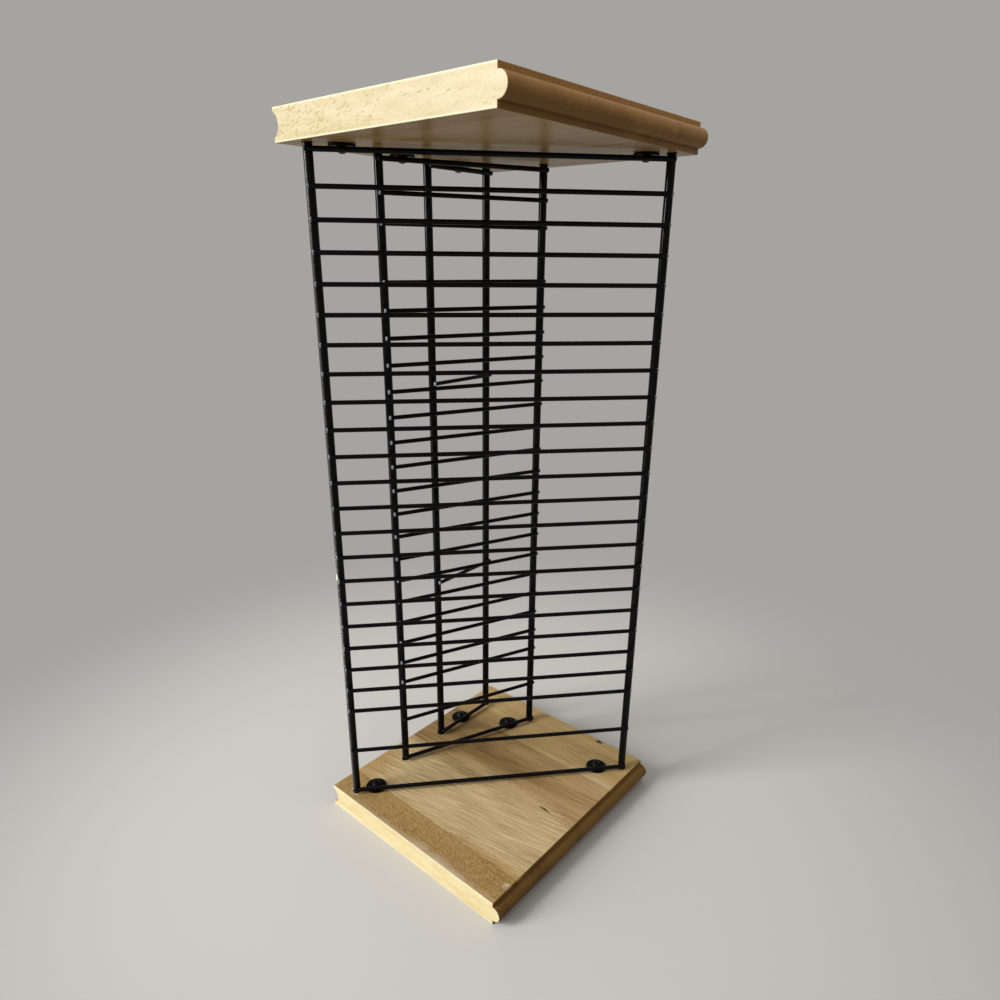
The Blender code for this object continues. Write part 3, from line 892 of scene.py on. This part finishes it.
# The knocked stretch of that upright: its levels and how fast it starts and ends (mm); how much it helps a
# speck to become a chip; and where a chip starts and is full
# Chips show pale grey steel, and the pale grey is partly a painted glint where they catch the light
CHIP_AND_GLINT_GREY = "#a9a6a2"
CHIPPED_FROM, CHIPPED_TO = 80.0, 200.0
CHIPPED_START, CHIPPED_END = 10.0, 8.0
CHIP_HELP = 0.18
CHIP_FROM, CHIP_TO = 0.74, 0.8
# Its largest chip, down to the primer: place from the upright's axis in plan and level, and half-sizes, in
# mm; how ragged it is, and where it fades out and is full in half-sizes
PRIMER_CREAM = "#e6dcc4"
LARGE_CHIP_PLACE = (-0.9, -2.3, 178.0)
LARGE_CHIP_HALVES = (1.0, 1.0, 2.6)
LARGE_CHIP_RAGGED = 1.2
LARGE_CHIP_OUTSIDE, LARGE_CHIP_INSIDE = 1.75, 1.55


def reflection_and_chip_line(tree, place, foot):
    """How close a spot is to the line along the front of an upright, where the painted reflection and the
    chips lie.
    """
    front_side = (foot.x - REFLECTION_LEFT, foot.y - UPRIGHT_DIAMETER / 2 / MM, 0.0)
    plan_place = add_node(tree, "ShaderNodeVectorMath", {"operation": "MULTIPLY"}, {
        0: place, 1: (1.0, 1.0, 0.0)}).outputs[0]
    away = add_node(tree, "ShaderNodeVectorMath", {"operation": "DISTANCE"}, {
        0: plan_place, 1: front_side}).outputs["Value"]
    return add_node(tree, "ShaderNodeMapRange", {}, {
        "Value": away, "From Min": REFLECTION_OUTSIDE, "From Max": REFLECTION_INSIDE}).outputs[0]


def small_chips(tree, place, beside, speck):
    """Specks that the paint has lost, most of them on the knocked stretch."""
    level = add_node(tree, "ShaderNodeSeparateXYZ", {}, {0: place}).outputs["Z"]
    rising = add_node(tree, "ShaderNodeMapRange", {}, {
        "Value": level, "From Min": CHIPPED_FROM - CHIPPED_START,
        "From Max": CHIPPED_FROM + CHIPPED_START}).outputs[0]
    ending = add_node(tree, "ShaderNodeMapRange", {}, {
        "Value": level, "From Min": CHIPPED_TO + CHIPPED_END,
        "From Max": CHIPPED_TO - CHIPPED_END}).outputs[0]
    stretch = add_node(tree, "ShaderNodeMath", {"operation": "MULTIPLY"}, {0: rising, 1: ending}).outputs[0]
    knocked = add_node(tree, "ShaderNodeMath", {"operation": "MULTIPLY"}, {0: stretch, 1: beside}).outputs[0]
    likely = add_node(tree, "ShaderNodeMath", {"operation": "MULTIPLY_ADD"}, {
        0: knocked, 1: CHIP_HELP, 2: speck}).outputs[0]
    return add_node(tree, "ShaderNodeMapRange", {}, {
        "Value": likely, "From Min": CHIP_FROM, "From Max": CHIP_TO}).outputs[0]


def large_chip(tree, place, foot, speck):
    """The one chip that goes down to the primer."""
    from_chip = add_node(tree, "ShaderNodeVectorMath", {"operation": "SUBTRACT"}, {
        0: place, 1: Vector((*foot, 0.0)) + Vector(LARGE_CHIP_PLACE)}).outputs[0]
    scaled = add_node(tree, "ShaderNodeVectorMath", {"operation": "DIVIDE"}, {
        0: from_chip, 1: LARGE_CHIP_HALVES}).outputs[0]
    distance = add_node(tree, "ShaderNodeVectorMath", {"operation": "LENGTH"}, {0: scaled}).outputs["Value"]
    ragged = add_node(tree, "ShaderNodeMath", {"operation": "MULTIPLY_ADD"}, {
        0: speck, 1: LARGE_CHIP_RAGGED, 2: distance}).outputs[0]
    return add_node(tree, "ShaderNodeMapRange", {}, {
        "Value": ragged, "From Min": LARGE_CHIP_OUTSIDE, "From Max": LARGE_CHIP_INSIDE}).outputs[0]


print("knocked stretch in mm:", CHIPPED_FROM, "to", CHIPPED_TO)

# %% Satin black paint
PAINT_BLACK = "#070608"
PAINT_IOR = 1.4
WIRE_SHINE = 0.16
WIRE_SMOOTH, WIRE_ROUGH = 0.1, 0.16
# Size of each pattern in the paint, in mm, its detail and its roughness: orange peel, the specks where paint
# is lost, and the clouds that dust lies in
PAINT_PATTERNS = {"peel": (1.4, 1.0, 0.5), "speck": (0.9, 3.0, 0.6), "cloud": (14.0, 2.0, 0.5)}
PEEL_RELIEF = 0.15
PEEL_DEPTH = 0.06 * MM
CHIP_RELIEF = -0.8
# Dust: how far up a spot faces before it gathers any, the most of it, and the roughness that it adds
DUST_GREY = "#2c2a28"
DUST_FACING = 0.45
DUST_SHARE = 0.15
DUST_ROUGHNESS = 0.5


def satin_black_paint():
    """Paint of the wires, with its dust, a painted reflection on one upright, and its chips."""
    finish, tree, shader = start_finish(
        "satin_black_paint_on_wire", IOR=PAINT_IOR, Specular_IOR_Level=WIRE_SHINE)
    place = place_in_mm(tree)
    pattern = {}
    for name, (size, detail, roughness) in PAINT_PATTERNS.items():
        pattern[name] = add_node(tree, "ShaderNodeTexNoise", {}, {
            "Vector": place, "Scale": 1 / size, "Detail": detail, "Roughness": roughness}).outputs[0]
    speck, cloud = pattern["speck"], pattern["cloud"]

    normal = add_node(tree, "ShaderNodeTexCoord", {}, {}).outputs["Normal"]
    up = add_node(tree, "ShaderNodeSeparateXYZ", {}, {0: normal}).outputs["Z"]
    facing_up = add_node(tree, "ShaderNodeMapRange", {}, {
        "Value": up, "From Min": DUST_FACING, "From Max": 1.0, "To Max": DUST_SHARE}).outputs[0]
    dust = add_node(tree, "ShaderNodeMath", {"operation": "MULTIPLY"}, {0: facing_up, 1: cloud}).outputs[0]
    foot = axes["front"][0] / MM
    beside = reflection_and_chip_line(tree, place, foot)
    uneven = add_node(tree, "ShaderNodeMath", {"operation": "MULTIPLY"}, {0: beside, 1: speck}).outputs[0]
    # Painted reflection: a grey strip in the specks along the upright's front
    painted_reflection = add_node(tree, "ShaderNodeMapRange", {}, {
        "Value": uneven, "From Min": REFLECTION_FROM, "From Max": REFLECTION_TO, "To Max": REFLECTION_SHARE}).outputs[0]
    chips = small_chips(tree, place, beside, speck)
    primer = large_chip(tree, place, foot, speck)

    # Each layer covers a share of what is under it
    colour = linear(PAINT_BLACK)
    layers = ((dust, DUST_GREY), (painted_reflection, REFLECTION_GREY), (chips, CHIP_AND_GLINT_GREY), (primer, PRIMER_CREAM))
    for share, layer in layers:
        colour = add_node(tree, "ShaderNodeMix", {"data_type": "RGBA"}, {
            0: share, 6: colour, 7: linear(layer)}).outputs[2]
    tree.links.new(colour, shader.inputs["Base Color"])

    rough = add_node(tree, "ShaderNodeMapRange", {}, {
        "Value": cloud, "From Min": NOISE_LOW, "From Max": NOISE_HIGH, "To Min": WIRE_SMOOTH,
        "To Max": WIRE_ROUGH}).outputs[0]
    duller = add_node(tree, "ShaderNodeMath", {"operation": "MULTIPLY_ADD", "use_clamp": True}, {
        0: dust, 1: DUST_ROUGHNESS, 2: rough}).outputs[0]
    tree.links.new(duller, shader.inputs["Roughness"])
    height = add_node(tree, "ShaderNodeMath", {"operation": "MULTIPLY_ADD"}, {
        0: chips, 1: CHIP_RELIEF, 2: pattern["peel"]}).outputs[0]
    relief = add_node(tree, "ShaderNodeBump", {}, {
        "Strength": PEEL_RELIEF, "Distance": PEEL_DEPTH, "Height": height})
    tree.links.new(relief.outputs["Normal"], shader.inputs["Normal"])
    return finish


wire_paint = satin_black_paint()
print("paint:", wire_paint.name)

# %% Sheared ends of the rungs, pale with a painted glint
# Colour of the steel, pale enough to stand for the glint the ends catch as well, its roughness, and the size
# of the spots where the paint is thin, in mm
END_STEEL_AND_GLINT_GREY = "#9297a1"
END_ROUGHNESS = 0.3
THIN_SPOT = 0.9


def sheared_end_with_glint():
    """The ends of the rungs: sheared steel through thin paint, pale enough to be a painted glint as well."""
    finish, tree, shader = start_finish("sheared_steel_with_painted_glint", IOR=PAINT_IOR, Roughness=END_ROUGHNESS)
    thin = add_node(tree, "ShaderNodeTexNoise", {}, {
        "Vector": place_in_mm(tree), "Scale": 1 / THIN_SPOT, "Detail": 2.0}).outputs[0]
    colour = add_node(tree, "ShaderNodeMix", {"data_type": "RGBA"}, {
        0: thin, 6: linear(PAINT_BLACK), 7: linear(END_STEEL_AND_GLINT_GREY)}).outputs[2]
    tree.links.new(colour, shader.inputs["Base Color"])
    return finish


wire_end_with_glint = sheared_end_with_glint()
for ladder, made in ladders.items():
    stand_for(made, f"{ladder}_frame", "wire", wire_paint, wire_end_with_glint)
print("ladders painted:", len(ladders))

# %% [markdown]
# ## Washers and screws
# Beside each end of a rail a large washer sits flat on the board, and a round-head screw holds it down. Both
# are turned. The washer's rims are rounded by the press that stamped it; the screw's dome has a cross recess,
# cut with two tapered bars, and each screw stops at its own angle when it is driven home. Each is made once,
# as a pattern, and then copied to its places.

# %% Washer and screw
WASHER_DIAMETER = 14.0 * MM
WASHER_THICKNESS = 1.2 * MM
WASHER_HOLE = 4.2 * MM
WASHER_ROUNDING = 0.35 * MM
WASHER_STEPS = 4
HEAD_DIAMETER = 6.2 * MM
HEAD_HEIGHT = 2.9 * MM
HEAD_RIM = 0.5 * MM
HEAD_ROUNDING = 0.2 * MM
HEAD_STEPS = 3
DOME_STEPS = 12
SHANK_DIAMETER = 3.5 * MM
SCREW_LENGTH = 12.0 * MM
SCREW_TIP = 3.0 * MM
FIXING_SIDES = 48


def washer_shape():
    """A stamped washer, lying on Z = 0."""
    hole, rim = WASHER_HOLE / 2, WASHER_DIAMETER / 2
    eased, top = WASHER_ROUNDING, WASHER_THICKNESS
    outline = [(hole, 0.0), *arc(rim - eased, eased, eased, -QUARTER, 0.0, WASHER_STEPS)]
    outline += arc(rim - eased, top - eased, eased, 0.0, QUARTER, WASHER_STEPS)
    outline += arc(hole + eased, top - eased, eased, QUARTER, math.pi, WASHER_STEPS)
    return turned(outline, FIXING_SIDES, closed=True)


def screw_shape():
    """A round-head wood screw, with the underside of its head on Z = 0."""
    squash = (HEAD_HEIGHT - HEAD_RIM) / (HEAD_DIAMETER / 2)
    bow = arc(0.0, 0.0, HEAD_DIAMETER / 2, QUARTER, 0.0, DOME_STEPS)
    outline = [(max(radius, 0.0), HEAD_RIM + height * squash) for radius, height in bow]
    outline[0] = (0.0, HEAD_HEIGHT)
    shank, tip = SHANK_DIAMETER / 2, -SCREW_LENGTH
    eased = HEAD_ROUNDING
    outline += arc(HEAD_DIAMETER / 2 - eased, eased, eased, 0.0, -QUARTER, HEAD_STEPS)
    outline += [(shank, 0.0), (shank, tip + SCREW_TIP), (0.0, tip)]
    return turned(outline, FIXING_SIDES)


patterns = {
    "washer": make_object("washer_pattern", washer_shape()),
    "screw": make_object("screw_pattern", screw_shape()),
}
print("faces:", {kind: len(pattern.data.polygons) for kind, pattern in patterns.items()})

# %% Cross recess
RECESS_LENGTH = 3.2 * MM
RECESS_WIDTH = 0.85 * MM
RECESS_DEPTH = 1.5 * MM
RECESS_TAPER = 0.45
RECESS_OVERRUN = 0.5 * MM


def recess_bar(turned_by):
    """One bar of the cross, which narrows downwards, as the tip of a driver does."""
    shape = bmesh.new()
    bmesh.ops.create_cube(shape, size=1.0)
    for corner in shape.verts:
        upper = corner.co.z > 0
        narrow = 1.0 if upper else RECESS_TAPER
        corner.co.x *= RECESS_LENGTH * narrow
        corner.co.y *= RECESS_WIDTH * (1.0 + narrow) / 2
        corner.co.z = HEAD_HEIGHT + (RECESS_OVERRUN if upper else -RECESS_DEPTH)
    shape.transform(Matrix.Rotation(turned_by, 4, "Z"))
    return make_object("recess_bar", shape)


recess, crossing = recess_bar(0.0), recess_bar(QUARTER)
cut_or_join(recess, crossing, "UNION")
cut_or_join(patterns["screw"], recess, "DIFFERENCE")
for used in (recess, crossing):
    bpy.data.objects.remove(used)
print("faces of a screw with its recess:", len(patterns["screw"].data.polygons))

# %% [markdown]
# ## Black steel
# The washers carry the same black paint as the wires, thinner and more even. The screws are blackened in an
# oxide bath and oiled. The oil film gives the dark head one small, sharp glint, and handling rubs it greyer
# in spots. One function makes both finishes, because they differ only in their values.

# %% Finishes of the fixings
# Grit in the surface, in mm
GRIT = 0.5
# Name, refraction and shine; the colour and that of its spots; the grit's detail; where in it the spots start
# and are full, and their strength; least and most roughness; and the strength of the relief
FIXING_FINISHES = {
    "washer": dict(
        name="black_painted_steel_washer", ior=PAINT_IOR, shine=0.08, colours=(PAINT_BLACK, "#131214"),
        detail=2.0, spots=(0.45, 0.75), share=0.35, roughness=(0.3, 0.42), relief=0.3),
    "screw": dict(
        name="oiled_black_oxide_screw", ior=1.5, shine=0.1, colours=("#0b0a0c", "#1f1e20"),
        detail=3.0, spots=(0.5, 0.8), share=0.7, roughness=(0.22, 0.32), relief=0.0),
}
GRIT_DEPTH = 0.04 * MM


def black_steel(look):
    """Black steel with spots and roughness that follow its grit."""
    finish, tree, shader = start_finish(look["name"], IOR=look["ior"], Specular_IOR_Level=look["shine"])
    grit = add_node(tree, "ShaderNodeTexNoise", {}, {
        "Vector": place_in_mm(tree), "Scale": 1 / GRIT, "Detail": look["detail"]}).outputs[0]
    spots = add_node(tree, "ShaderNodeMapRange", {}, {
        "Value": grit, "From Min": look["spots"][0], "From Max": look["spots"][1],
        "To Max": look["share"]}).outputs[0]
    plain, spotted = look["colours"]
    colour = add_node(tree, "ShaderNodeMix", {"data_type": "RGBA"}, {
        0: spots, 6: linear(plain), 7: linear(spotted)}).outputs[2]
    tree.links.new(colour, shader.inputs["Base Color"])
    rough = add_node(tree, "ShaderNodeMapRange", {}, {
        "Value": grit, "From Min": NOISE_LOW, "From Max": NOISE_HIGH, "To Min": look["roughness"][0],
        "To Max": look["roughness"][1]}).outputs[0]
    tree.links.new(rough, shader.inputs["Roughness"])
    if look["relief"]:
        relief = add_node(tree, "ShaderNodeBump", {}, {
            "Strength": look["relief"], "Distance": GRIT_DEPTH, "Height": grit})
        tree.links.new(relief.outputs["Normal"], shader.inputs["Normal"])
    return finish


finishes = {kind: black_steel(look) for kind, look in FIXING_FINISHES.items()}
print("finishes:", [finish.name for finish in finishes.values()])

# %% Washers and screws in place
DRIVEN_TURN = math.radians(37.0)
turned_over = Matrix.Rotation(math.pi, 4, "X")
fixings = []
for node in sorted(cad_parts):
    kind = next((kind for kind in patterns if f"_{kind}_" in node), None)
    if kind is None:
        continue
    low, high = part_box(node)
    centre = (low + high) / 2
    on_top = "_top_" in node
    if kind == "washer":
        level = high.z if on_top else low.z
    else:
        level = low.z + HEAD_HEIGHT if on_top else high.z - HEAD_HEIGHT
    twist = Matrix.Rotation(DRIVEN_TURN * len(fixings), 4, "Z")
    mesh = patterns[kind].data.copy()
    way_up = turned_over if on_top else Matrix()
    mesh.transform(Matrix.Translation((centre.x, centre.y, level)) @ way_up @ twist)
    piece_name = node.replace("washer", "disc").replace("screw", "roundhead")
    piece = bpy.data.objects.new(piece_name, mesh)
    bpy.context.scene.collection.objects.link(piece)
    stand_for(piece, node, kind, finishes[kind])
    fixings.append(piece)
for pattern in patterns.values():
    bpy.data.objects.remove(pattern)
print("washers and screws:", len(fixings))

# %% [markdown]
# ## Floor, background and light
# The stand is shown as a catalogue would show it: on a plain pale floor that fades into a plain grey
# background, in soft light. One large soft light stands to the left of the camera, as a window would, so the
# front edges of the boards are the brightest and the beaded sides lie in shade. A dim sky, brighter above and
# on that side, fills the shadows, and a low card in front of the stand throws a little light up under the top
# board. A sky picture would do the same, but these few values are easier to follow.

# %% Floor
FLOOR_RADIUS = 0.8
FLOOR_SIDES = 96
FLOOR_DROP = 0.05 * MM
FLOOR_PALE = "#b8b6b2"
FLOOR_ROUGHNESS = 0.9
FLOOR_IOR = 1.2
FLOOR_FADE_FROM = 0.14
FLOOR_FADE_TO = 0.48

disc = bmesh.new()
bmesh.ops.create_circle(disc, cap_ends=True, segments=FLOOR_SIDES, radius=FLOOR_RADIUS)
floor = make_object("floor", disc)
floor.location.z = cad_low.z - FLOOR_DROP
floor_finish, floor_tree, floor_shader = start_finish(
    "matt_studio_floor", Roughness=FLOOR_ROUGHNESS, IOR=FLOOR_IOR, Base_Color=linear(FLOOR_PALE))
floor_place = add_node(floor_tree, "ShaderNodeTexCoord", {}, {}).outputs["Object"]
floor_distance = add_node(floor_tree, "ShaderNodeVectorMath", {"operation": "LENGTH"}, {
    0: floor_place}).outputs["Value"]
floor_fade = add_node(floor_tree, "ShaderNodeMapRange", {"interpolation_type": "SMOOTHSTEP"}, {
    "Value": floor_distance, "From Min": FLOOR_FADE_TO, "From Max": FLOOR_FADE_FROM}).outputs[0]
floor_tree.links.new(floor_fade, floor_shader.inputs["Alpha"])
floor.data.materials.append(floor_finish)
print("floor radius in m:", FLOOR_RADIUS)

# %% Background and sky
WORLD_GREY = "#c9c7c3"
WORLD_STRENGTH = 0.65
# The fill comes from the window's side and from above: its direction, its strengths away from there and
# there, and how gradually it changes
SKY_FROM = (-0.25, -0.35, 0.9)
SKY_DIM = 0.1
SKY_BRIGHT = 1.15
SKY_SPREAD = 0.8

world = bpy.data.worlds.new("plain grey")
world.use_nodes = True
sky_tree = world.node_tree
looking = add_node(sky_tree, "ShaderNodeTexCoord", {}, {}).outputs["Generated"]
toward = add_node(sky_tree, "ShaderNodeVectorMath", {"operation": "DOT_PRODUCT"}, {
    0: looking, 1: SKY_FROM}).outputs["Value"]
fill = add_node(sky_tree, "ShaderNodeMapRange", {"interpolation_type": "SMOOTHSTEP"}, {
    "Value": toward, "From Min": -SKY_SPREAD, "From Max": SKY_SPREAD, "To Min": SKY_DIM,
    "To Max": SKY_BRIGHT}).outputs[0]
# The camera, and what shines or is clear, see a plain even grey instead of the fill
ray = add_node(sky_tree, "ShaderNodeLightPath", {}, {}).outputs
seen = ray["Is Camera Ray"]
for kind in ("Is Glossy Ray", "Is Transmission Ray"):
    seen = add_node(sky_tree, "ShaderNodeMath", {"operation": "MAXIMUM"}, {0: seen, 1: ray[kind]}).outputs[0]
strength = add_node(sky_tree, "ShaderNodeMix", {"data_type": "FLOAT"}, {
    0: seen, 2: fill, 3: WORLD_STRENGTH}).outputs[0]
sky = sky_tree.nodes["Background"]
sky.inputs["Color"].default_value = linear(WORLD_GREY)
sky_tree.links.new(strength, sky.inputs["Strength"])
bpy.context.scene.world = world
print("strength of the sky:", SKY_DIM, "to", SKY_BRIGHT)

# %% Lights
# Each lamp: its place and what it faces (m), its width and height (m), and its power (W)
LAMPS = {
    "window_light": dict(place=(-1.45, -2.43, 1.45), target=(0.0, 0.0, 0.2), size=(1.0, 2.2), power=153.0),
    "bounce_card": dict(place=(-0.25, -0.35, 0.03), target=(0.0, 0.0, 0.42), size=(0.5, 0.3), power=0.6),
}

for name, lamp in LAMPS.items():
    light = bpy.data.objects.new(name, bpy.data.lights.new(name, "AREA"))
    light.data.shape = "RECTANGLE"
    light.data.size, light.data.size_y = lamp["size"]
    light.data.energy = lamp["power"]
    light.location = lamp["place"]
    facing = Vector(lamp["target"]) - Vector(lamp["place"])
    light.rotation_euler = facing.to_track_quat("-Z", "Y").to_euler()
    light.visible_camera = False
    bpy.context.scene.collection.objects.link(light)
    print(name, "stands", round(facing.length, 2), "m away")
bpy.context.scene.view_settings.view_transform = "Standard"
